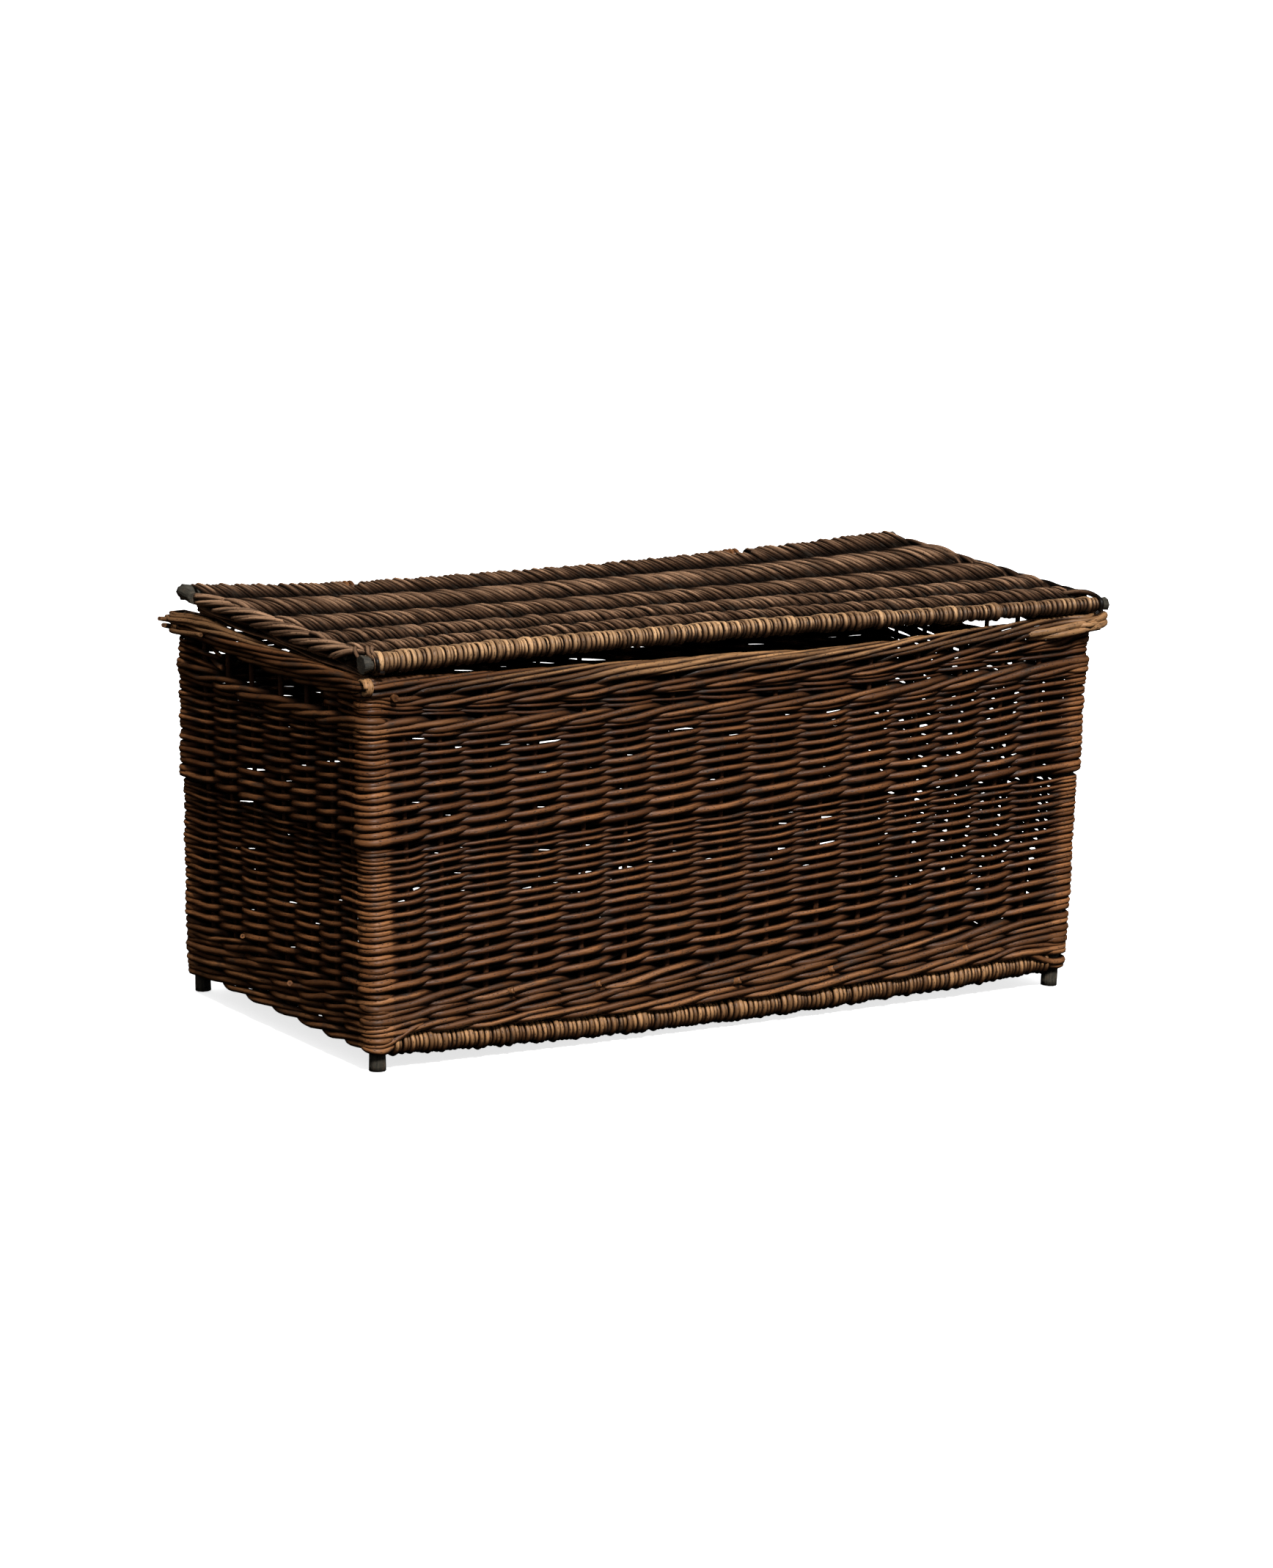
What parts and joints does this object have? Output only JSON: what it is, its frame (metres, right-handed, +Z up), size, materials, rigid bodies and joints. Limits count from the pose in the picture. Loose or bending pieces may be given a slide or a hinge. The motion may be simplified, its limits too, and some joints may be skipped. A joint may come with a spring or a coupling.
{
  "type": "laundry hamper",
  "caption": "Rectangular woven willow laundry hamper on corner-post feet, with a flat woven lid hinged along the back and a hand hole in each end.",
  "frame": {"origin": "on the floor under the middle of the whole hamper", "axes": "+X along its length to the right seen from the front, +Y from the front to the hinge side, +Z up"},
  "size_m": [0.9134, 0.4726, 0.447],
  "materials": {
    "bark_sticks": "matte, weathered bark",
    "border_rods": "satin, aged willow",
    "wale_rods": "satin, aged willow",
    "weave_rods": "satin, aged willow",
    "lid_rods": "satin, aged willow"
  },
  "bodies": {
    "basket": {"post_front_left": "bark_sticks", "post_front_right": "bark_sticks", "post_back_right": "bark_sticks", "post_back_left": "bark_sticks", "base_stick_1": "bark_sticks", "base_stick_2": "bark_sticks", "base_stick_3": "bark_sticks", "base_stick_4": "bark_sticks", "base_stick_5": "bark_sticks", "base_weave": "weave_rods", "stakes_and_border_front": "border_rods", "stakes_and_border_right": "border_rods", "stakes_and_border_back": "border_rods", "stakes_and_border_left": "border_rods", "bottom_wale": "wale_rods", "lower_weave": "weave_rods", "upper_weave": "weave_rods", "upper_wale": "wale_rods", "top_strip_front": "weave_rods", "top_strip_back": "weave_rods", "hinge_loop_left": "wale_rods", "hinge_loop_right": "wale_rods"},
    "lid": {"lid_stick_1": "bark_sticks", "lid_stick_2": "bark_sticks", "lid_stick_3": "bark_sticks", "lid_stick_4": "bark_sticks", "lid_stick_5": "bark_sticks", "lid_stick_6": "bark_sticks", "lid_weave": "lid_rods", "lid_end_left": "lid_rods", "lid_end_right": "lid_rods"}
  },
  "joints": [
    {"name": "lid_hinge", "type": "hinge", "parent": "basket", "child": "lid", "pos_m": [0, 0.2098, 0.4284], "axis": [-1, 0, 0], "range_deg": [0, 90]}
  ]
}
